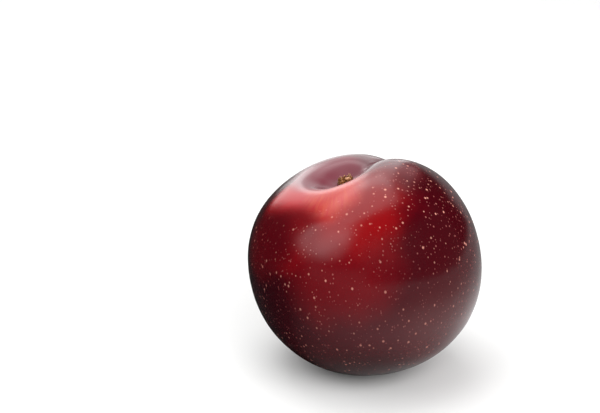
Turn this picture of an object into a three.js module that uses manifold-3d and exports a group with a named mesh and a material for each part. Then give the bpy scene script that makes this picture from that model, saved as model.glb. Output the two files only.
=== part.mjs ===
// A ripe red plum whose stalk has come away: one grown fruit, resting on a small flat spot, and the dry
// corky scar that the stalk left at the bottom of its cavity. Millimetres, +Z up, front towards -Y. The
// origin lies in the resting plane, under the middle of the plum's box.
import * as THREE from "three";
import { mergeVertices } from "three/addons/utils/BufferGeometryUtils.js";
import Module from "manifold-3d";

// The fruit in its own frame: +Z runs from the blossom end to the stalk cavity, +X towards the suture,
// and every azimuth is counted from the suture.
const GIRTH_RADIUS = 30.3; // across the cheeks, at the widest ring
const STALK_END_RADIUS = 28.4; // from the middle to the stalk end, before the cavity is sunk
const BLOSSOM_END_RADIUS = 28.7;
const SHOULDER_FULLNESS = 0.033; // how far the stalk half stands out of an ellipsoid, as a share
const HAUNCH_FULLNESS = 0.021; // the same for the blossom half
const WAIST_LIFT = 0.3; // how far the widest ring lies above the middle
const APEX_OFFSET = 1.7; // how far the blossom end lies off the axis
const APEX_AZIMUTH = -45;
const APEX_DIMPLE_DEPTH = 0.5;
const APEX_DIMPLE_RADIUS = 3;

// The stalk cavity, the cheeks that rise round it, and the saddle between them on the dorsal side.
const CAVITY_DEPTH = 5.8;
const CAVITY_RADIUS = 6.4;
const CAVITY_DORSAL_FLARE = 0.25; // how much wider the cavity opens on the dorsal side, as a share
const CAVITY_CHEEK_PINCH = 0.15; // and how much narrower it is under the proud cheek
const CHEEK_AZIMUTH = -105;
const CHEEK_RISE = 1.0; // the cheek on this side of the suture stands this much prouder
const CHEEK_RING = 13; // the radius of the ring where it is proudest
const CHEEK_WIDTH = 8;
const SADDLE_AZIMUTH = 200;
const SADDLE_DIP = 1.9;
const SADDLE_RING = 14.5;
const SADDLE_WIDTH = 8;

// The suture: a wide shallow valley with a fine crease along its bottom, deepest by the cavity.
const VALLEY_DEPTH = 2.4;
const VALLEY_WIDTH = 6;
const CREASE_DEPTH = 0.5;
const CREASE_WIDTH = 1.4;
const SUTURE_AT_APEX = 0.2; // the share of that depth which is left towards the blossom end

// The scar, in the fruit's frame too: a foot sunk in the cavity floor, and a torn crown round a hollow.
const SCAR_RADIUS = 2.2;
const SCAR_FOOT = 0.8;
const CROWN_HEIGHT = 2.6; // above the cavity floor
const CROWN_HOLLOW = 1.0;
const CROWN_RAGGEDNESS = 0.35; // the deepest tear, as a share of the crown's height
const CROWN_SEED = 11;
const SEAT_GAP = 0.3; // between the scar and the seat it sits in

// How the fruit lies: its stalk end leans to the left and a little forward, and its suture faces the back
// right.
const LEAN_LEFT = 12;
const LEAN_FORWARD = 1;
const SUTURE_AZIMUTH = 45;
const FLAT_SPOT_DEPTH = 0.32; // how much of the round underside the flat spot takes off

// The meshes. The fruit's rings crowd towards the cavity and its meridians towards the suture.
const FRUIT_MERIDIANS = 88;
const FRUIT_RINGS = 56;
const RING_CROWDING = 0.55;
const MERIDIAN_CROWDING = 0.5;
const SCAR_MERIDIANS = 36;
const MERGE_WITHIN = 1e-3;

const radians = THREE.MathUtils.degToRad;
const { smoothstep, seededRandom } = THREE.MathUtils;
const bell = (u) => Math.exp(-u * u);

// 1 at the given azimuth from the suture, falling smoothly to 0 on the opposite side.
const facing = (around, azimuth) => ((1 + Math.cos(around - radians(azimuth))) / 2) ** 2;

// One point of the skin: polar is the angle from the stalk end, around the azimuth from the suture.
function skinPoint(polar, around) {
  const height = Math.cos(polar);
  const [endRadius, fullness] =
    height > 0 ? [STALK_END_RADIUS, SHOULDER_FULLNESS] : [BLOSSOM_END_RADIUS, HAUNCH_FULLNESS];
  const full = 1 + fullness * Math.sin(2 * polar) ** 2;
  const ring = GIRTH_RADIUS * Math.sin(polar) * full;
  const p = new THREE.Vector3(
    ring * Math.cos(around),
    ring * Math.sin(around),
    endRadius * height * full + WAIST_LIFT * Math.sin(polar) ** 2,
  );

  // Every term that differs from one side to another fades out at the axis, where all sides meet.
  const offAxis = smoothstep(ring, 0, 5);
  const stalkEnd = smoothstep(height, 0, 0.6);
  const blossomEnd = smoothstep(-height, 0, 0.6);

  const dorsal = facing(around, SADDLE_AZIMUTH);
  const cheek = facing(around, CHEEK_AZIMUTH);
  const flare = (CAVITY_DORSAL_FLARE * dorsal - CAVITY_CHEEK_PINCH * cheek) * offAxis;
  p.z -= CAVITY_DEPTH * bell(ring / (CAVITY_RADIUS * (1 + flare))) * stalkEnd;
  p.z += CHEEK_RISE * cheek * bell((ring - CHEEK_RING) / CHEEK_WIDTH) * stalkEnd * offAxis;
  const saddle = SADDLE_DIP * dorsal * bell((ring - SADDLE_RING) / SADDLE_WIDTH) * stalkEnd * offAxis;

  const aside = ring * Math.sin(around);
  const valley = VALLEY_DEPTH * bell(aside / VALLEY_WIDTH) + CREASE_DEPTH * bell(aside / CREASE_WIDTH);
  const sutureSide = Math.max(0, Math.cos(around)) ** 2 * offAxis;
  const depthLeft = SUTURE_AT_APEX + (1 - SUTURE_AT_APEX) * smoothstep(height, -0.2, 0.8);
  p.sub(p.clone().normalize().multiplyScalar(saddle + valley * sutureSide * depthLeft));

  p.z += APEX_DIMPLE_DEPTH * bell(ring / APEX_DIMPLE_RADIUS) * blossomEnd;
  const apexShift = APEX_OFFSET * ((1 - height) / 2) ** 2;
  p.x += apexShift * Math.cos(radians(APEX_AZIMUTH));
  p.y += apexShift * Math.sin(radians(APEX_AZIMUTH));
  return p;
}

function grownFruit() {
  const grown = new THREE.SphereGeometry(1, FRUIT_MERIDIANS, FRUIT_RINGS);
  const place = grown.getAttribute("position");
  const grid = grown.getAttribute("uv");
  for (let i = 0; i < place.count; i++) {
    const down = 1 - grid.getY(i);
    const turn = 2 * Math.PI * grid.getX(i);
    const polar = Math.PI * down * (1 - RING_CROWDING + RING_CROWDING * down);
    const p = skinPoint(polar, turn - MERIDIAN_CROWDING * Math.sin(turn));
    place.setXYZ(i, p.x, p.y, p.z);
  }
  return grown;
}

const cavityFloor = STALK_END_RADIUS - CAVITY_DEPTH;

// The room for the scar: a round seat through the cavity floor, a gap wider than the scar's foot.
function scarSeat() {
  const depth = SCAR_FOOT + SEAT_GAP;
  const above = CROWN_HEIGHT;
  return new THREE.CylinderGeometry(
    SCAR_RADIUS + SEAT_GAP,
    SCAR_RADIUS + SEAT_GAP,
    depth + above,
    SCAR_MERIDIANS,
  )
    .rotateX(Math.PI / 2)
    .translate(0, 0, cavityFloor + (above - depth) / 2);
}

// The scar is turned from a section, and then each meridian of its crown is torn down by its own share.
function tornScar() {
  const hollow = CROWN_HEIGHT - CROWN_HOLLOW;
  const section = [
    [0, -SCAR_FOOT],
    [0.9 * SCAR_RADIUS, -SCAR_FOOT],
    [SCAR_RADIUS, -0.5 * SCAR_FOOT],
    [0.95 * SCAR_RADIUS, 0.5 * CROWN_HEIGHT],
    [0.88 * SCAR_RADIUS, CROWN_HEIGHT],
    [0.62 * SCAR_RADIUS, 0.9 * CROWN_HEIGHT],
    [0.4 * SCAR_RADIUS, hollow],
    [0, hollow],
  ].map(([radius, height]) => new THREE.Vector2(radius, height));
  const scar = new THREE.LatheGeometry(section, SCAR_MERIDIANS);
  seededRandom(CROWN_SEED);
  const tears = Array.from({ length: SCAR_MERIDIANS }, () => CROWN_RAGGEDNESS * seededRandom());
  const place = scar.getAttribute("position");
  for (let i = 0; i < place.count; i++) {
    const tear = tears[Math.floor(i / section.length) % SCAR_MERIDIANS];
    const crown = smoothstep(place.getY(i), hollow, CROWN_HEIGHT);
    place.setY(i, place.getY(i) * (1 - tear * crown));
  }
  return scar.rotateX(Math.PI / 2).translate(0, 0, cavityFloor);
}

const wasm = await Module();
wasm.setup();

function solidOf(geometry) {
  const bare = new THREE.BufferGeometry();
  bare.setAttribute("position", geometry.getAttribute("position"));
  bare.setIndex(geometry.index);
  const shared = mergeVertices(bare, MERGE_WITHIN);
  return new wasm.Manifold(
    new wasm.Mesh({
      numProp: 3,
      vertProperties: shared.getAttribute("position").array,
      triVerts: Uint32Array.from(shared.index.array),
    }),
  );
}

function geometryOf(solid) {
  const mesh = solid.getMesh();
  const geometry = new THREE.BufferGeometry();
  geometry.setAttribute("position", new THREE.BufferAttribute(mesh.vertProperties, 3));
  geometry.setIndex(new THREE.BufferAttribute(mesh.triVerts, 1));
  geometry.computeVertexNormals();
  return geometry;
}

// The block under the resting plane, in the fruit's own frame.
function groundUnder(geometry, lean) {
  const standing = new THREE.Box3().setFromBufferAttribute(
    geometry.clone().applyMatrix4(lean.matrix).getAttribute("position"),
  );
  const side = 2 * GIRTH_RADIUS;
  return new THREE.BoxGeometry(side, side, side)
    .translate(0, 0, standing.min.z + FLAT_SPOT_DEPTH - side / 2)
    .applyMatrix4(lean.matrix.clone().invert());
}

const lean = new THREE.Group();
lean.rotation.set(radians(LEAN_FORWARD), radians(-LEAN_LEFT), radians(SUTURE_AZIMUTH), "YXZ");
lean.updateMatrix();

const skin = new THREE.MeshStandardMaterial({ color: 0x6b0f1c, roughness: 0.32, metalness: 0 });
const grown = grownFruit();
const cut = solidOf(grown).subtract(solidOf(scarSeat())).subtract(solidOf(groundUnder(grown, lean)));
const fruit = new THREE.Mesh(geometryOf(cut), skin);
fruit.name = "fruit";

const cork = new THREE.MeshStandardMaterial({ color: 0x96703c, roughness: 0.9, metalness: 0 });
const scar = new THREE.Mesh(tornScar(), cork);
scar.name = "stem_scar";

lean.add(fruit, scar);
const plum = new THREE.Group();
plum.add(lean);
const box = new THREE.Box3().setFromObject(plum, true);
const middle = box.getCenter(new THREE.Vector3());
lean.position.set(-middle.x, -middle.y, -box.min.z);

export default plum;
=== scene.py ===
# %% [markdown]
# # A ripe red plum
#
# This notebook dresses a plum in Blender. The solids already exist and are loaded as a fixed frame: the
# fruit, and the dry scar that its stalk left in the cavity on top. Here both get a finer surface over the
# same form, and a finish. Everything is in metres, +Z up, and the plum's front faces -Y.

# %% Load the frame
import math
import random

import bpy
from mathutils import Matrix, Vector


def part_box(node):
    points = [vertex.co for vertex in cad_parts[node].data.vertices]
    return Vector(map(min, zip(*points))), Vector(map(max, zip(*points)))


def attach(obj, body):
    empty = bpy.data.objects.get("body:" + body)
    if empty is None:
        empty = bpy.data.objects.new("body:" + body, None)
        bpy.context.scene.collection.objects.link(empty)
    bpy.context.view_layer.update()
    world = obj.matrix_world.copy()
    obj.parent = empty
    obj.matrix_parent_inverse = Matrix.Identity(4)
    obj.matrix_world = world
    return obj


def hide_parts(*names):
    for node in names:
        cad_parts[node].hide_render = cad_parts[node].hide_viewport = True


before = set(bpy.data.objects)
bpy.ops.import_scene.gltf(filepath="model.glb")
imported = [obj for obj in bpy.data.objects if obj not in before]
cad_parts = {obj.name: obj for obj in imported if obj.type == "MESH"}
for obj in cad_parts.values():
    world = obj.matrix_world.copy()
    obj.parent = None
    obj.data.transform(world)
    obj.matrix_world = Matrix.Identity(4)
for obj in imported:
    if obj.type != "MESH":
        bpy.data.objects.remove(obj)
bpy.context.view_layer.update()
MM = 0.001
fruit_low, fruit_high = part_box("fruit")
scar_low, scar_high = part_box("stem_scar")
scar_middle = (scar_low + scar_high) / 2
fruit_width = fruit_high.x - fruit_low.x
print(f"the fruit is {fruit_width / MM:.1f} mm wide and {fruit_high.z / MM:.1f} mm high")

# %% [markdown]
# ## The way the fruit lies
#
# A plum grows round an axis that runs from the blossom end to the stalk. Here it leans to the left, so
# every shape and pattern is set out along that axis and not along the world's Z. The axis passes through
# the stalk scar, whose place the frame gives. The suture, the groove down one side, faces the back right.

# %% The fruit's own axes
LEAN_LEFT = math.radians(12)
LEAN_FORWARD = math.radians(1)
SUTURE_TURN = math.radians(45)

lean = Matrix.Rotation(-LEAN_LEFT, 3, "Y") @ Matrix.Rotation(LEAN_FORWARD, 3, "X")
fruit_axes = lean @ Matrix.Rotation(SUTURE_TURN, 3, "Z")
stalk_way = fruit_axes.col[2]
heart_height = (fruit_low.z + fruit_high.z) / 2
heart = scar_middle - stalk_way * ((scar_middle.z - heart_height) / stalk_way.z)
print("the axis crosses the middle height at", [round(v / MM, 2) for v in heart], "mm")


def on_fruit(point):
    """A world point along the fruit's axes from its heart: towards the suture, the far cheek, the stalk."""
    return fruit_axes.transposed() @ (point - heart)


# %% [markdown]
# ## The camera
#
# The plum is seen a little from above, with a long lens from under half a metre, so it keeps its round
# form with little perspective. A short lens close by would swell the near side.

# %% The camera
CAMERA_PLACE = Vector((-0.4, -388.5, 185.2)) * MM
CAMERA_DOWN = math.radians(19.97)
CAMERA_TURNED_LEFT = math.radians(2.43)

camera_data = bpy.data.cameras.new("camera")
camera_data.lens = 96
camera_data.sensor_width = 36
camera = bpy.data.objects.new("camera", camera_data)
camera.location = CAMERA_PLACE
camera.rotation_euler = (math.pi / 2 - CAMERA_DOWN, 0, CAMERA_TURNED_LEFT)
bpy.context.scene.collection.objects.link(camera)
bpy.context.scene.camera = camera

# %% [markdown]
# ## Working on one mesh at a time
#
# Operators act on whatever is selected, and the frame's nodes arrive selected, so each step begins by
# letting go of everything. These helpers do that, pick faces out by their place, and apply a modifier.

# %% Selecting and applying


def work_on(piece, mode="OBJECT"):
    """Makes this the only selected and active object, in the given mode."""
    if bpy.context.mode != "OBJECT":
        bpy.ops.object.mode_set(mode="OBJECT")
    bpy.ops.object.select_all(action="DESELECT")
    piece.select_set(True)
    bpy.context.view_layer.objects.active = piece
    bpy.ops.object.mode_set(mode=mode)


def pick(piece, part, wanted):
    """Goes to edit mode with only the vertices or faces selected whose place passes the test."""
    work_on(piece, "EDIT")
    bpy.ops.mesh.select_mode(type="VERT" if part == "vertices" else "FACE")
    bpy.ops.mesh.select_all(action="DESELECT")
    bpy.ops.object.mode_set(mode="OBJECT")
    for item in getattr(piece.data, part):
        item.select = wanted(item.co if part == "vertices" else item.center)
    picked = sum(item.select for item in getattr(piece.data, part))
    bpy.ops.object.mode_set(mode="EDIT")
    return picked


def apply_modifier(piece, kind, **settings):
    """Adds one modifier with its settings and applies it at once."""
    work_on(piece)
    modifier = piece.modifiers.new(kind.lower(), kind)
    for name, value in settings.items():
        setattr(modifier, name, value)
    bpy.ops.object.modifier_apply(modifier=modifier.name)


def weigh(piece, name, weight):
    """A vertex group whose weights come from each point's place along the fruit's axes."""
    group = piece.vertex_groups.new(name=name)
    for vertex in piece.data.vertices:
        share = weight(on_fruit(vertex.co))
        if share > 0.002:
            group.add([vertex.index], min(share, 1), "REPLACE")
    return group.name


def bell(distance, width):
    return math.exp(-((distance / width) ** 2))


def ease(value, start, end):
    """0 before start, 1 after end, and a smooth slope between them."""
    share = min(max((value - start) / (end - start), 0), 1)
    return share * share * (3 - 2 * share)


# %% [markdown]
# ## A smooth guide for the skin
#
# The fruit's solid is faceted, and a glossy skin would mirror every facet. A merged copy of it, with its
# triangles joined back into four-sided faces and subdivided, is a smooth guide of the same form. The
# round seat in the cavity floor is closed first, because skin and scar grow into each other there.

# %% The guide
SEAT_REACH = 2.9 * MM

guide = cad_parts["fruit"].copy()
guide.data = guide.data.copy()
guide.parent = None
guide.name = "guide"
bpy.context.scene.collection.objects.link(guide)
work_on(guide, "EDIT")
bpy.ops.mesh.select_all(action="SELECT")
bpy.ops.mesh.remove_doubles(threshold=0.005 * MM)
bpy.ops.mesh.tris_convert_to_quads(face_threshold=math.radians(30), shape_threshold=math.radians(60))


def in_the_seat(point):
    across = on_fruit(point)
    return across.z > 0 and across.xy.length < SEAT_REACH


print(pick(guide, "polygons", in_the_seat), "faces of the seat taken out")
bpy.ops.mesh.delete(type="FACE")
bpy.ops.mesh.select_mode(type="EDGE")
bpy.ops.mesh.select_non_manifold()
bpy.ops.mesh.edge_face_add()
bpy.ops.mesh.select_all(action="SELECT")
bpy.ops.mesh.normals_make_consistent(inside=False)
apply_modifier(guide, "SUBSURF", levels=2, render_levels=2)
print("the guide has", len(guide.data.polygons), "faces")

# %% [markdown]
# ## The skin's mesh
#
# A sphere with poles would pinch in the cavity, where the plum shows its deepest shadow. A cube that is
# subdivided and rounded to a ball has only even, four-sided faces. It is turned so that one of its sides
# looks up the stalk, and the faces there are drawn together, because the cavity needs them most.

# %% A ball of even faces
FACES_ALONG_A_SIDE = 32
CAVITY_CROWDING = 0.55
CROWDING_REACH = 1.1 * fruit_width / 2

bpy.ops.object.select_all(action="DESELECT")
bpy.ops.mesh.primitive_cube_add(size=fruit_width, location=heart, rotation=fruit_axes.to_euler())
fruit = bpy.context.object
fruit.name = "plum_fruit"
bpy.ops.object.transform_apply(location=True, rotation=True, scale=True)
work_on(fruit, "EDIT")
bpy.ops.mesh.select_all(action="SELECT")
bpy.ops.mesh.subdivide(number_cuts=FACES_ALONG_A_SIDE - 1)
bpy.ops.transform.tosphere(value=1, center_override=heart)
bpy.ops.object.mode_set(mode="OBJECT")
ball_radius = (fruit.data.vertices[0].co - heart).length
stalk_pole = heart + stalk_way * ball_radius
print(pick(fruit, "vertices", lambda co: (co - stalk_pole).length < 0.2 * MM), "vertex at the pole")
bpy.ops.transform.resize(
    value=(CAVITY_CROWDING,) * 3,
    center_override=stalk_pole,
    use_proportional_edit=True,
    proportional_edit_falloff="SMOOTH",
    proportional_size=CROWDING_REACH,
)
bpy.ops.mesh.select_all(action="SELECT")
bpy.ops.transform.tosphere(value=1, center_override=heart)
bpy.ops.object.mode_set(mode="OBJECT")
near_pole = [(v.co - stalk_pole).length for v in fruit.data.vertices]
print("faces by the pole are about", round(sorted(near_pole)[1] / MM, 2), "mm across before shrinking")

# %% [markdown]
# ## From ball to plum
#
# The ball is let down onto the guide along its own radii: a plum is seen whole from its heart, even into
# the cavity, so each point finds its place and none cross. Two subdivisions then make the surface finer
# and round off what is left of the facets.

# %% Let the skin down onto the guide
apply_modifier(
    fruit,
    "SHRINKWRAP",
    target=guide,
    wrap_method="PROJECT",
    use_negative_direction=True,
    use_positive_direction=True,
)
apply_modifier(fruit, "SUBSURF", levels=2, render_levels=2)
bpy.data.objects.remove(guide)
print("the skin has", len(fruit.data.polygons), "faces")

# %% [markdown]
# ## What the finer skin can show
#
# The real skin has low relief that the solid leaves out: a fine line along the bottom of the suture, a
# hollow beside the scar and a shallow seat under it, the point that the flower left at the blossom end,
# and very gentle lumps that make the reflections waver. Each is a Displace modifier with a vertex group
# that says where it works, because relief along the normals never tears a closed skin. The cavity's left
# wall and its floor are evened out with Smooth as well, so that what they mirror runs on in one sweep.

# %% The suture's fine line
APEX_DRIFT = 1.2 * MM
LINE_DEPTH = 0.3 * MM
LINE_WIDTH = 0.55 * MM
fruit_height = fruit_high.z - fruit_low.z


def down_the_fruit(across):
    """0 at the stalk end, 1 at the blossom end."""
    return min(max(0.5 - across.z / fruit_height, 0), 1)


def on_the_line(across):
    aside = across.y + APEX_DRIFT * down_the_fruit(across) ** 2
    fades_out = 1 - 0.7 * ease(down_the_fruit(across), 0.4, 1)
    return bell(aside, LINE_WIDTH) * ease(across.x, 5 * MM, 10 * MM) * fades_out


line = weigh(fruit, "suture line", on_the_line)
apply_modifier(fruit, "DISPLACE", vertex_group=line, strength=-LINE_DEPTH, mid_level=0)

# %% The hollow beside the scar, where the cavity drops behind its near rim
HOLLOW_PLACE = Vector((-9.5, -2.2, 51)) * MM
HOLLOW_WIDTH = 4.4 * MM
HOLLOW_DEPTH = 1.2 * MM
hollow_across = on_fruit(HOLLOW_PLACE)


def in_the_hollow(across):
    return bell((across - hollow_across).length, HOLLOW_WIDTH)


hollow = weigh(fruit, "hollow", in_the_hollow)
apply_modifier(fruit, "DISPLACE", vertex_group=hollow, strength=-HOLLOW_DEPTH, mid_level=0)

# %% The cavity floor evened out, and the seat of the scar
SEAT_DEPTH = 0.5 * MM
LEFT_WALL = Vector((-13.5, 2, 51)) * MM
WALL_WIDTH = 5 * MM


def on_the_floor(across):
    return 1 - ease(across.xy.length, 3.5 * MM, 6 * MM) if across.z > 0 else 0


def on_the_seat(across):
    return 1 - ease(across.xy.length, 1.4 * MM, 2.5 * MM) if across.z > 0 else 0


def on_the_left_wall(across):
    return bell((across - on_fruit(LEFT_WALL)).length, WALL_WIDTH)


left_wall = weigh(fruit, "left wall", on_the_left_wall)
apply_modifier(fruit, "SMOOTH", vertex_group=left_wall, factor=0.5, iterations=250)
cavity_floor = weigh(fruit, "cavity floor", on_the_floor)
apply_modifier(fruit, "SMOOTH", vertex_group=cavity_floor, factor=0.5, iterations=80)
seat = weigh(fruit, "seat", on_the_seat)
apply_modifier(fruit, "DISPLACE", vertex_group=seat, strength=-SEAT_DEPTH, mid_level=0)

# %% The flower's point at the blossom end
POINT_RADIUS = 0.55 * MM
POINT_HEIGHT = 0.3 * MM
apex = fruit_axes @ Vector((APEX_DRIFT, -APEX_DRIFT, -fruit_height / 2)) + heart
apex_across = on_fruit(apex)


def at_the_point(across):
    return bell((across.xy - apex_across.xy).length, POINT_RADIUS) if across.z < 0 else 0


point = weigh(fruit, "flower point", at_the_point)
apply_modifier(fruit, "DISPLACE", vertex_group=point, strength=POINT_HEIGHT, mid_level=0)

# %% The gentle lumps, which leave the resting spot flat
LUMP_SIZE = 11 * MM
LUMP_HEIGHT = 0.16 * MM

lumps = bpy.data.textures.new("gentle lumps", "CLOUDS")
lumps.noise_scale = LUMP_SIZE
lumps.noise_depth = 1


def off_the_ground(across):
    return ease((fruit_axes @ across + heart).z, 0.4 * MM, 3 * MM)


free = weigh(fruit, "off the ground", off_the_ground)
apply_modifier(fruit, "DISPLACE", vertex_group=free, texture=lumps, strength=LUMP_HEIGHT)
fruit.vertex_groups.clear()
work_on(fruit)
bpy.ops.object.shade_smooth()
low = min(v.co.z for v in fruit.data.vertices)
print("the skin's lowest point is at", round(low / MM, 3), "mm")

# %% [markdown]
# ## The stalk scar
#
# When the stalk comes away it tears, and what stays behind dries to a crumbly ring of cork with stiff
# fibres round a dark hole. Displacing one smooth lump would only look dented. Instead a low bed, a ring of
# leaning splinters and many crumbs are set up as plain shapes, and a voxel remesh then fuses them into one
# skin, as if they had grown together. All of them are placed round the fruit's axis by seeded chance.

# %% The bed of cork, with its hole
CORK_SEED = 7
SCAR_RADIUS = 2.2 * MM
BED_DEPTH = 1.5 * MM
HOLE_DEPTH = 0.8 * MM

chance = random.Random(CORK_SEED)
on_axis = [on_fruit(v.co) for v in fruit.data.vertices]
floor_height = min(a.z for a in on_axis if a.z > 0 and a.xy.length < 0.4 * MM) + SEAT_DEPTH
print("the cavity floor is", round(floor_height / MM, 2), "mm above the heart")


def round_the_scar(radius, turn, height):
    """A world point by its distance and turn round the axis, and its height above the cavity floor."""
    across = Vector((radius * math.cos(turn), radius * math.sin(turn), floor_height + height))
    return fruit_axes @ across + heart


def tilted(turn, tilt):
    """The rotation that leans a piece outwards by tilt, on the side that turn faces."""
    turned = fruit_axes @ Matrix.Rotation(turn, 3, "Z") @ Matrix.Rotation(tilt, 3, "Y")
    return turned.to_euler()


bpy.ops.object.select_all(action="DESELECT")
bpy.ops.mesh.primitive_cylinder_add(
    vertices=28,
    radius=SCAR_RADIUS,
    depth=BED_DEPTH,
    location=round_the_scar(0, 0, 0),
    rotation=tilted(0, 0),
)
scar = bpy.context.object
scar.name = "plum_stem_scar"
bpy.ops.object.transform_apply(location=True, rotation=True, scale=True)
bed_top = floor_height + BED_DEPTH / 2
print(pick(scar, "polygons", lambda co: on_fruit(co).z > bed_top - 0.05 * MM), "face on top of the bed")
bpy.ops.mesh.inset(thickness=0.9 * MM)
bpy.ops.transform.translate(value=stalk_way * -HOLE_DEPTH)
bpy.ops.mesh.inset(thickness=0.5 * MM)
bpy.ops.object.mode_set(mode="OBJECT")

# %% The ring of splinters
SPLINTERS = 22
SPLINTER_RING = 1.55 * MM

pieces = [scar]
for number in range(SPLINTERS):
    turn = math.tau * (number + chance.uniform(-0.4, 0.4)) / SPLINTERS
    height = chance.uniform(1.4, 2.1) * MM
    bpy.ops.mesh.primitive_cone_add(
        vertices=chance.choice((5, 6, 7)),
        radius1=chance.uniform(0.34, 0.52) * MM,
        radius2=chance.uniform(0.1, 0.24) * MM,
        depth=height,
        location=round_the_scar(SPLINTER_RING + chance.uniform(-0.25, 0.3) * MM, turn, 0.35 * height),
        rotation=tilted(turn, chance.uniform(-0.35, 0.4)),
    )
    bpy.context.object.scale.x = chance.uniform(0.55, 0.9)
    pieces.append(bpy.context.object)

# %% Crumbs on the ring and down its sides
CRUMBS = 46

for number in range(CRUMBS):
    turn = chance.uniform(0, math.tau)
    radius = chance.triangular(0.9, 2.3, 1.9) * MM
    top = 1.5 * MM * (1 - ease(radius, 1.6 * MM, 2.4 * MM))
    bpy.ops.mesh.primitive_ico_sphere_add(
        subdivisions=2,
        radius=chance.triangular(0.16, 0.44, 0.26) * MM,
        location=round_the_scar(radius, turn, top * chance.uniform(0.4, 1) + 0.15 * MM),
        rotation=tilted(turn, chance.uniform(0, math.pi)),
    )
    bpy.context.object.scale = [chance.uniform(0.7, 1.25) for _ in "xyz"]
    pieces.append(bpy.context.object)

# %% Loose fibres where the stalk's strands pulled out
FIBRES = 15

for number in range(FIBRES):
    turn = chance.uniform(0, math.tau)
    length = chance.uniform(1.1, 2.2) * MM
    bpy.ops.mesh.primitive_cone_add(
        vertices=5,
        radius1=0.14 * MM,
        radius2=0.06 * MM,
        depth=length,
        location=round_the_scar(chance.uniform(1.0, 2.0) * MM, turn, 0.9 * MM + 0.3 * length),
        rotation=tilted(turn, chance.uniform(-0.2, 0.9)),
    )
    pieces.append(bpy.context.object)
print(len(pieces), "shapes make up the scar")

# %% Fuse them and crumble the surface
CORK_VOXEL = 0.07 * MM

for piece in pieces:
    piece.select_set(True)
bpy.context.view_layer.objects.active = scar
bpy.ops.object.join()
bpy.ops.object.transform_apply(location=True, rotation=True, scale=True)
apply_modifier(scar, "REMESH", mode="VOXEL", voxel_size=CORK_VOXEL)
for size, height in ((0.9 * MM, 0.22 * MM), (0.3 * MM, 0.12 * MM)):
    crumble = bpy.data.textures.new("crumbling cork", "CLOUDS")
    crumble.noise_scale = size
    crumble.noise_depth = 2
    apply_modifier(scar, "DISPLACE", texture=crumble, strength=height)
apply_modifier(scar, "REMESH", mode="VOXEL", voxel_size=CORK_VOXEL)
apply_modifier(scar, "SMOOTH", factor=0.4, iterations=1)
work_on(scar)
bpy.ops.object.shade_smooth()
print("the scar has", len(scar.data.polygons), "faces")

# %% [markdown]
# ## Colours and nodes
#
# Colours are written as sRGB hex values, and one function turns them into the linear values that a shader
# needs. Another adds a node with its settings, values and links, so that each line of a material reads as
# one step. A pattern's scale is one over the real size of its features.

# %% Two helpers for the materials


def linear(hex_colour):
    """An sRGB hex colour as the linear RGBA that a shader reads."""
    channels = [int(hex_colour[i : i + 2], 16) / 255 for i in (1, 3, 5)]
    return [c / 12.92 if c <= 0.04045 else ((c + 0.055) / 1.055) ** 2.4 for c in channels] + [1]


def add_node(material, kind, inputs, **settings):
    """Adds a node with its settings. Each input is given a value, or the output that it is linked to."""
    node = material.node_tree.nodes.new(kind)
    for name, value in settings.items():
        setattr(node, name, value)
    for socket, value in inputs.items():
        if isinstance(value, bpy.types.NodeSocket):
            material.node_tree.links.new(value, node.inputs[socket])
        else:
            node.inputs[socket].default_value = value
    return node


# %% [markdown]
# ## The skin
#
# A plum's skin is thin, smooth and filled with dark red pigment, under a coat of wax. The pigment is
# densest where the sun reached, so the colour comes in broad patches with soft borders: near black purple
# on the right and behind, clear red in front, and almost orange where the shoulder lay in the shade of the
# stalk. Other patches are painted light: the left side is darkened with painted shade, as if fruit stood
# beside it, and the pale mauve low on the right and in the cavity is part wax bloom and part painted
# reflection. Underneath, the skin is also darker and browner. The patches are set out by the way each
# point faces from the heart, and a slow noise breaks their borders. Painting a texture would fix them to
# one mesh, while directions work on any.

# %% Where a point is and which way it faces
WAVER_SIZE = 13 * MM

skin = bpy.data.materials.new("waxy_plum_skin")
skin.use_nodes = True
place = add_node(skin, "ShaderNodeTexCoord", {}).outputs["Object"]
from_heart = add_node(
    skin, "ShaderNodeMapping", {"Vector": place, "Location": heart}, vector_type="TEXTURE"
).outputs["Vector"]
way = add_node(skin, "ShaderNodeVectorMath", {0: from_heart}, operation="NORMALIZE").outputs["Vector"]
along_fruit = add_node(
    skin,
    "ShaderNodeMapping",
    {"Vector": place, "Location": heart, "Rotation": fruit_axes.to_euler()},
    vector_type="TEXTURE",
).outputs["Vector"]
waver = add_node(
    skin, "ShaderNodeTexNoise", {"Vector": from_heart, "Scale": 1 / WAVER_SIZE, "Detail": 3.0}
).outputs["Fac"]

# %% How much a point faces one way


def facing(middle, full, gone, wander=0.25):
    """How much a point faces one way: 1 within full degrees of it, 0 past gone, on a wandering border."""
    turned = add_node(
        skin, "ShaderNodeVectorMath", {0: way, 1: Vector(middle).normalized()}, operation="DOT_PRODUCT"
    )
    wandering = add_node(
        skin,
        "ShaderNodeMath",
        {0: waver, 1: wander, 2: turned.outputs["Value"]},
        operation="MULTIPLY_ADD",
    )
    share = add_node(
        skin,
        "ShaderNodeMapRange",
        {
            "Value": wandering.outputs[0],
            "From Min": math.cos(math.radians(gone)) + wander / 2,
            "From Max": math.cos(math.radians(full)) + wander / 2,
        },
        interpolation_type="SMOOTHSTEP",
    )
    return share.outputs[0]
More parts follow.
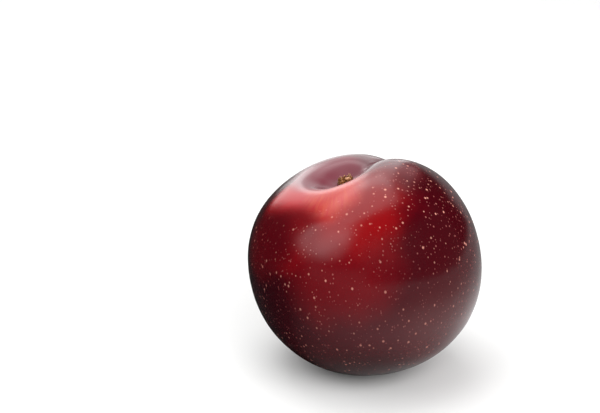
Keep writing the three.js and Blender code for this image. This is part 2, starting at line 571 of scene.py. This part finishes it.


# %% Patches of pigment, with painted shade on the left and a painted reflection low on the right
GROUND = "#3c0008"
PATCH_WANDER = 0.15
PATCHES = [  # colour, the way its middle faces, degrees where it is full, degrees where it is gone
    ("#5e0009", (-0.22, -0.92, 0.32), 8, 37),
    # painted shade: the left side darkened as if fruit stood beside it
    ("#220007", (-0.93, -0.2, -0.3), 5, 62),
    # darker and browner underneath
    ("#2a0609", (0.0, -0.5, -0.87), 8, 46),
    ("#280006", (0.3, 0.9, 0.2), 30, 85),
    # part wax bloom, part painted reflection of the white floor, low on the right
    ("#420e12", (0.68, -0.68, -0.28), 4, 31),
    ("#600f18", (0.12, -0.15, 0.98), 10, 27),
    ("#4c0009", (0.34, -0.5, 0.8), 6, 18),
    ("#7c0207", (-0.09, -0.62, 0.79), 4, 34),
]
colour = linear(GROUND)
for patch_colour, middle, full, gone in PATCHES:
    share = facing(middle, full, gone, PATCH_WANDER)
    colour = add_node(
        skin, "ShaderNodeMix", {0: share, 6: colour, 7: linear(patch_colour)}, data_type="RGBA"
    ).outputs[2]

# %% [markdown]
# Round the cavity the skin is paler, and the pigment lies in fine streaks that run down from the stalk.
# Their noise is read round the fruit's axis: fast from side to side and slowly from top to bottom.

# %% Streaks on the shoulder
STREAK_WIDTH = 0.8 * MM
STREAK_LENGTH = 30 * MM
SHOULDER_RADIUS = 15 * MM

off_axis = add_node(
    skin, "ShaderNodeVectorMath", {0: along_fruit, 1: (1, 1, 0)}, operation="MULTIPLY"
).outputs["Vector"]
round_axis = add_node(
    skin, "ShaderNodeVectorMath", {0: off_axis}, operation="NORMALIZE"
).outputs["Vector"]
slow_down = add_node(
    skin,
    "ShaderNodeVectorMath",
    {0: along_fruit, 1: (0, 0, 1 / STREAK_LENGTH), 2: round_axis},
    operation="MULTIPLY_ADD",
).outputs["Vector"]
streaks = add_node(
    skin,
    "ShaderNodeTexNoise",
    {"Vector": slow_down, "Scale": SHOULDER_RADIUS / STREAK_WIDTH, "Detail": 4.0, "Roughness": 0.6},
).outputs["Fac"]
streaks_alone = add_node(
    skin, "ShaderNodeMapRange", {"Value": streaks, "From Min": 0.27, "From Max": 0.85}
).outputs[0]
by_the_stalk = facing((-0.25, -0.45, 0.86), 10, 24)
streak_share = add_node(
    skin, "ShaderNodeMath", {0: streaks_alone, 1: by_the_stalk}, operation="MULTIPLY"
).outputs[0]
shoulder_colour = add_node(
    skin,
    "ShaderNodeMix",
    {0: streak_share, 6: linear("#a80c16"), 7: linear("#b03a18")},
    data_type="RGBA",
).outputs[2]

# %% The shoulder, its borders, and the cavity with its painted reflection
AREAS = [  # colour, the way its middle faces, degrees where it is full, degrees where it is gone, wander
    (linear("#a00a12"), (-0.68, -0.22, 0.7), 4, 17, 0.05),
    (shoulder_colour, (-0.45, -0.33, 0.83), 15, 30, 0.1),
    (linear("#640008"), (-0.62, -0.62, 0.48), 10, 22, 0.05),
    (linear("#480008"), (-0.82, -0.45, 0.36), 7, 24, 0.05),
    # the cavity's pale mauve: part wax bloom, part painted reflection of the back light
    (linear("#52101f"), (0.02, 0.25, 0.97), 16, 30, 0.1),
    (linear("#6a2130"), (-0.33, 0.05, 0.94), 17, 26, 0.05),
]
for area_colour, middle, full, gone, wander in AREAS:
    share = facing(middle, full, gone, wander)
    colour = add_node(
        skin, "ShaderNodeMix", {0: share, 6: colour, 7: area_colour}, data_type="RGBA"
    ).outputs[2]

# %% [markdown]
# Lenticels are the pores of the skin, small pale dots with soft edges. They crowd on the sides and towards
# the bottom and are fewer in front. They are palest on the upper right and fade out on the left and round
# the stalk. In front below the shoulder, where the key light's highlight falls, they are made paler still,
# a painted highlight on the dots. A Voronoi texture scatters points through space, and the skin cuts
# through small balls round them, which gives dots of many sizes with no two alike. The space is squeezed
# along the fruit first, so that the dots come out a little longer that way. Finer specks between them are
# a second layer of the same kind.

# %% One layer of dots
LENTICEL_STRETCH = 1.3

in_front = facing((0, -0.9, 0.42), 12, 55, 0.1)
squeezed = add_node(
    skin,
    "ShaderNodeVectorMath",
    {0: along_fruit, 1: (1, 1, 1 / LENTICEL_STRETCH)},
    operation="MULTIPLY",
).outputs["Vector"]


def lenticels(cell, smallest, largest, edge, few, many):
    """A layer of soft dots between two radii, kept in few of the cells in front and in many elsewhere."""
    cells = add_node(
        skin, "ShaderNodeTexVoronoi", {"Vector": squeezed, "Scale": 1 / cell, "Randomness": 1.0}
    )
    cell_chance = add_node(skin, "ShaderNodeSeparateColor", {0: cells.outputs["Color"]})
    crowding = add_node(
        skin,
        "ShaderNodeMapRange",
        {"Value": in_front, "To Min": many, "To Max": few},
    ).outputs[0]
    kept = add_node(
        skin, "ShaderNodeMath", {0: cell_chance.outputs[0], 1: crowding}, operation="LESS_THAN"
    ).outputs[0]
    dot_radius = add_node(
        skin,
        "ShaderNodeMapRange",
        {"Value": cell_chance.outputs[1], "To Min": smallest / cell, "To Max": largest / cell},
    ).outputs[0]
    inside = add_node(
        skin, "ShaderNodeMath", {0: dot_radius, 1: cells.outputs["Distance"]}, operation="SUBTRACT"
    ).outputs[0]
    dot = add_node(
        skin,
        "ShaderNodeMapRange",
        {"Value": inside, "From Max": edge / cell},
        interpolation_type="SMOOTHSTEP",
    ).outputs[0]
    return add_node(skin, "ShaderNodeMath", {0: dot, 1: kept}, operation="MULTIPLY").outputs[0]


# %% Both layers, faded on the left and round the stalk, with a painted highlight below the shoulder
PALE_ANYWHERE = 0.34
DOT_HIGHLIGHT_STRENGTH = 0.3

pale_side = add_node(
    skin,
    "ShaderNodeMapRange",
    {"Value": facing((0.6, -0.25, 0.76), 10, 50, 0), "To Min": PALE_ANYWHERE, "To Max": 1},
).outputs[0]
# painted highlight: the dots are made paler below the shoulder, where the key light's highlight falls
dot_highlight_place = facing((-0.3, -0.8, 0.5), 8, 34, 0)
pale_and_highlit_places = add_node(
    skin,
    "ShaderNodeMath",
    {0: dot_highlight_place, 1: DOT_HIGHLIGHT_STRENGTH, 2: pale_side},
    operation="MULTIPLY_ADD",
).outputs[0]
off_the_shoulder = add_node(
    skin, "ShaderNodeMath", {0: 1, 1: facing((-0.45, -0.1, 0.88), 25, 44, 0)}, operation="SUBTRACT"
).outputs[0]
how_pale_and_highlit = add_node(
    skin, "ShaderNodeMath", {0: pale_and_highlit_places, 1: off_the_shoulder}, operation="MULTIPLY"
).outputs[0]
specks = lenticels(0.8 * MM, 0.12 * MM, 0.29 * MM, 0.16 * MM, 0.7, 0.75)
pores = lenticels(1.4 * MM, 0.22 * MM, 0.44 * MM, 0.3 * MM, 0.45, 0.6)
for dots, strength, dot_colour in ((specks, 0.6, "#b06460"), (pores, 1.0, "#de9484")):
    strong_dots = add_node(skin, "ShaderNodeMath", {0: dots, 1: strength}, operation="MULTIPLY")
    dot_share = add_node(
        skin, "ShaderNodeMath", {0: strong_dots.outputs[0], 1: how_pale_and_highlit}, operation="MULTIPLY"
    ).outputs[0]
    colour = add_node(
        skin, "ShaderNodeMix", {0: dot_share, 6: colour, 7: linear(dot_colour)}, data_type="RGBA"
    ).outputs[2]

# %% [markdown]
# The wax coat is what shines. It is thin and smooth, so the skin is a dielectric with a low IOR and a small
# roughness, and its reflections keep soft edges. In the cavity rain never rubs the wax, and its dusty
# bloom stays on, so there the shine is turned down to less than half.

# %% The finished skin
WAX_SHINE = 0.5
CAVITY_SHINE = 0.22
WAX_ROUGHNESS = 0.22
WAX_IOR = 1.37

shader = skin.node_tree.nodes["Principled BSDF"]
skin.node_tree.links.new(colour, shader.inputs["Base Color"])
shine = add_node(
    skin,
    "ShaderNodeMapRange",
    {"Value": facing((-0.33, -0.08, 0.94), 7, 19, 0.05), "To Min": WAX_SHINE, "To Max": CAVITY_SHINE},
).outputs[0]
skin.node_tree.links.new(shine, shader.inputs["Specular IOR Level"])
shader.inputs["Roughness"].default_value = WAX_ROUGHNESS
shader.inputs["IOR"].default_value = WAX_IOR
fruit.data.materials.clear()
fruit.data.materials.append(skin)

# %% [markdown]
# ## The cork of the scar
#
# Dry stalk tissue is brown cork with no gloss at all. Its pits are painted nearly black as painted shade,
# found by Pointiness on so fine a mesh, and a noise varies the brown from crumb to crumb. The torn tips
# get a painted highlight, pale towards their tops, so the colour also follows the height along the
# fruit's axis.

# %% Cork
CRUMB_SIZE = 1.1 * MM
CORK_ROUGHNESS = 0.85

cork = bpy.data.materials.new("dry_stalk_cork")
cork.use_nodes = True
cork_place = add_node(cork, "ShaderNodeTexCoord", {}).outputs["Object"]
crumb_noise = add_node(
    cork, "ShaderNodeTexNoise", {"Vector": cork_place, "Scale": 1 / CRUMB_SIZE, "Detail": 3.0}
).outputs["Fac"]
browns = add_node(cork, "ShaderNodeValToRGB", {"Fac": crumb_noise})
browns.color_ramp.elements[0].position = 0.38
browns.color_ramp.elements[0].color = linear("#50240a")
browns.color_ramp.elements[1].position = 0.64
browns.color_ramp.elements[1].color = linear("#a2621f")
edges = add_node(cork, "ShaderNodeNewGeometry", {}).outputs["Pointiness"]
# painted shade: where Pointiness is low, in the pits, the cork is darkened nearly black
pit_shade_share = add_node(
    cork, "ShaderNodeMapRange", {"Value": edges, "From Min": 0.43, "From Max": 0.53}
).outputs[0]
cork_colour = add_node(
    cork, "ShaderNodeMix", {0: pit_shade_share, 6: linear("#180703"), 7: browns.outputs[0]}, data_type="RGBA"
).outputs[2]

# %% The painted highlight on the torn tips
TIP_HIGHLIGHT_FROM = 2.65 * MM
TIP_HIGHLIGHT_TO = 3.4 * MM
TIP_UNEVENNESS = 2.4 * MM

cork_height = add_node(
    cork,
    "ShaderNodeVectorMath",
    {0: cork_place, 1: stalk_way},
    operation="DOT_PRODUCT",
).outputs["Value"]
uneven_height = add_node(
    cork, "ShaderNodeMath", {0: crumb_noise, 1: TIP_UNEVENNESS, 2: cork_height}, operation="MULTIPLY_ADD"
).outputs[0]
floor_level = heart.dot(stalk_way) + floor_height
# painted highlight: the cork turns pale towards the tops of the torn tips
tip_highlight_share = add_node(
    cork,
    "ShaderNodeMapRange",
    {"Value": uneven_height, "From Min": floor_level + TIP_HIGHLIGHT_FROM, "From Max": floor_level + TIP_HIGHLIGHT_TO},
).outputs[0]
cork_colour = add_node(
    cork, "ShaderNodeMix", {0: tip_highlight_share, 6: cork_colour, 7: linear("#e6b088")}, data_type="RGBA"
).outputs[2]
cork_shader = cork.node_tree.nodes["Principled BSDF"]
cork.node_tree.links.new(cork_colour, cork_shader.inputs["Base Color"])
cork_shader.inputs["Roughness"].default_value = CORK_ROUGHNESS
scar.data.materials.clear()
scar.data.materials.append(cork)

# %% [markdown]
# ## Floor and light
#
# A plum has almost no colour of its own to show off in flat light: its form is told by what its skin
# mirrors. So the lights are large soft panels, each placed where its reflection is wanted, and none is seen
# by the camera itself. Those that give the shine are only mirrored, and the fills only throw light, so that
# shine and shade can be set apart, as a studio does with dark cloth and flags. The floor is plain white
# paper, which lights the underside. In reflections alone it is dimmer on the left and far away, as if
# other fruit stood there, and the room is nearly dark, so that the skin keeps its deep colour.

# %% The floor
PAPER_WHITE = (0.88, 0.88, 0.875, 1)

bpy.ops.object.select_all(action="DESELECT")
bpy.ops.mesh.primitive_plane_add(size=1.2, location=(0, 0, 0))
floor = bpy.context.object
floor.name = "floor"
paper = bpy.data.materials.new("white_studio_paper")
paper.use_nodes = True
paper_shader = paper.node_tree.nodes["Principled BSDF"]
paper_shader.inputs["Roughness"].default_value = 0.9
paper_shader.inputs["Specular IOR Level"].default_value = 0.1
floor.data.materials.append(paper)

# %% The floor as the skin mirrors it, dark on the left and dimmer far away and right by the plum
DARK_SIDE = Vector((-0.94, 0.342, 0))
FLOOR_REACH = 400 * MM
NEAREST = (25 * MM, 0.6)  # distance from the plum's middle, share mirrored
FARTHEST = (340 * MM, 0.6)
BETWEEN = ((45 * MM, 1), (105 * MM, 0.5), (220 * MM, 0.32))

floor_place = add_node(paper, "ShaderNodeTexCoord", {}).outputs["Object"]
floor_way = add_node(
    paper, "ShaderNodeVectorMath", {0: floor_place}, operation="NORMALIZE"
).outputs["Vector"]
to_the_left = add_node(
    paper, "ShaderNodeVectorMath", {0: floor_way, 1: DARK_SIDE}, operation="DOT_PRODUCT"
).outputs["Value"]
side_light = add_node(
    paper,
    "ShaderNodeMapRange",
    {"Value": to_the_left, "From Min": -0.9, "From Max": 0.72, "To Min": 1, "To Max": 0.02},
).outputs[0]
far_away = add_node(
    paper, "ShaderNodeVectorMath", {0: floor_place}, operation="LENGTH"
).outputs["Value"]
far_share = add_node(
    paper, "ShaderNodeMath", {0: far_away, 1: 1 / FLOOR_REACH}, operation="MULTIPLY"
).outputs[0]
near_light = add_node(paper, "ShaderNodeValToRGB", {"Fac": far_share})
for end, (distance, grey) in enumerate((NEAREST, FARTHEST)):
    near_light.color_ramp.elements[end].position = distance / FLOOR_REACH
    near_light.color_ramp.elements[end].color = (grey, grey, grey, 1)
for distance, grey in BETWEEN:
    near_light.color_ramp.elements.new(distance / FLOOR_REACH).color = (grey, grey, grey, 1)
mirrored_paper = add_node(
    paper,
    "ShaderNodeVectorMath",
    {0: near_light.outputs[0], 1: side_light},
    operation="MULTIPLY",
).outputs[0]
floor_ray = add_node(paper, "ShaderNodeLightPath", {}).outputs["Is Glossy Ray"]
paper_colour = add_node(
    paper,
    "ShaderNodeMix",
    {0: floor_ray, 6: PAPER_WHITE, 7: mirrored_paper},
    data_type="RGBA",
).outputs[2]
paper.node_tree.links.new(paper_colour, paper_shader.inputs["Base Color"])

# %% A soft panel


def soft_panel(name, turn, rise, distance, size, brightness, roll=0, shape="RECTANGLE"):
    """A soft panel that faces the plum, at a turn from the front, positive to the right, and a rise."""
    turn, rise = math.radians(turn), math.radians(rise)
    out = Vector((math.sin(turn) * math.cos(rise), -math.cos(turn) * math.cos(rise), math.sin(rise)))
    light = bpy.data.lights.new(name, "AREA")
    light.shape = shape
    light.size, light.size_y = size
    area = size[0] * size[1] * (math.pi / 4 if shape == "ELLIPSE" else 1)
    light.energy = brightness * math.pi * area
    panel = bpy.data.objects.new(name, light)
    panel.location = heart + out * distance
    facing_plum = out.to_track_quat("Z", "Y").to_matrix()
    panel.rotation_euler = (facing_plum @ Matrix.Rotation(math.radians(roll), 3, "Z")).to_euler()
    panel.visible_camera = False
    bpy.context.scene.collection.objects.link(panel)
    return panel


# %% Panels that are only mirrored, which throw no light of their own on the floor
MIRRORED_PANELS = (  # name, turn, rise, distance, size, brightness, roll, shape
    ("key panel", -60, 46.5, 0.7, (0.54, 0.6), 2.1, 10, "ELLIPSE"),
    ("key core", -41, 40, 0.7, (0.36, 0.5), 0.9, 0, "ELLIPSE"),
    ("key halo", -57, 44.5, 0.7, (0.72, 0.78), 0.7, 10, "ELLIPSE"),
    ("back wall", -173, 35, 0.8, (0.5, 1.1), 1.7, 0, "RECTANGLE"),
    ("back panel", -151.5, 38.5, 0.8, (0.28, 0.86), 3.0, -10, "RECTANGLE"),
    ("back fill", 176, 48, 0.8, (0.62, 0.72), 0.9, 12, "RECTANGLE"),
    ("backdrop", 158, 5, 1.0, (0.6, 0.3), 0.4, 0, "RECTANGLE"),
    ("low card", -173, 0, 0.25, (0.07, 0.05), 1.2, 0, "RECTANGLE"),
    ("front wall", -25, 4, 1.0, (1.1, 0.3), 0.35, 0, "RECTANGLE"),
    ("right wall", 78, 22, 0.9, (1.25, 0.75), 0.09, 0, "RECTANGLE"),
)
for values in MIRRORED_PANELS:
    soft_panel(*values).visible_diffuse = False
print(len(MIRRORED_PANELS), "panels give the shine")

# %% Panels that light, of which only the top one is mirrored too
soft_panel("top panel", -150, 75, 0.8, (0.6, 0.6), 2.5)
soft_panel("front fill", 32, 32, 0.8, (0.9, 0.6), 3.4).visible_glossy = False
soft_panel("left fill", -70, 50, 0.8, (0.8, 0.6), 1.2).visible_glossy = False

# %% The room beyond: white to the camera, dim as a light, nearly dark in the shine
SEEN_ROOM = 1.0
MIRRORED_ROOM = 0.02
LIGHTING_ROOM = 0.6

world = bpy.data.worlds.new("studio")
world.use_nodes = True
bpy.context.scene.world = world
ray = add_node(world, "ShaderNodeLightPath", {})
seen = add_node(
    world, "ShaderNodeMath", {0: ray.outputs["Is Camera Ray"], 1: SEEN_ROOM}, operation="MULTIPLY"
).outputs[0]
mirrored = add_node(
    world,
    "ShaderNodeMath",
    {0: ray.outputs["Is Glossy Ray"], 1: MIRRORED_ROOM, 2: seen},
    operation="MULTIPLY_ADD",
).outputs[0]
room = add_node(
    world,
    "ShaderNodeMath",
    {0: ray.outputs["Is Diffuse Ray"], 1: LIGHTING_ROOM, 2: mirrored},
    operation="MULTIPLY_ADD",
).outputs[0]
background = world.node_tree.nodes["Background"]
background.inputs["Color"].default_value = (1, 1, 1, 1)
world.node_tree.links.new(room, background.inputs["Strength"])
bpy.context.scene.view_settings.view_transform = "Standard"

# %% [markdown]
# ## Hand over
#
# Both pieces ride on the plum's one body, and each stands for its solid, which is hidden.

# %% Ride and replace
for piece, node, slot in ((fruit, "fruit", "skin"), (scar, "stem_scar", "cork")):
    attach(piece, "root")
    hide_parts(node)
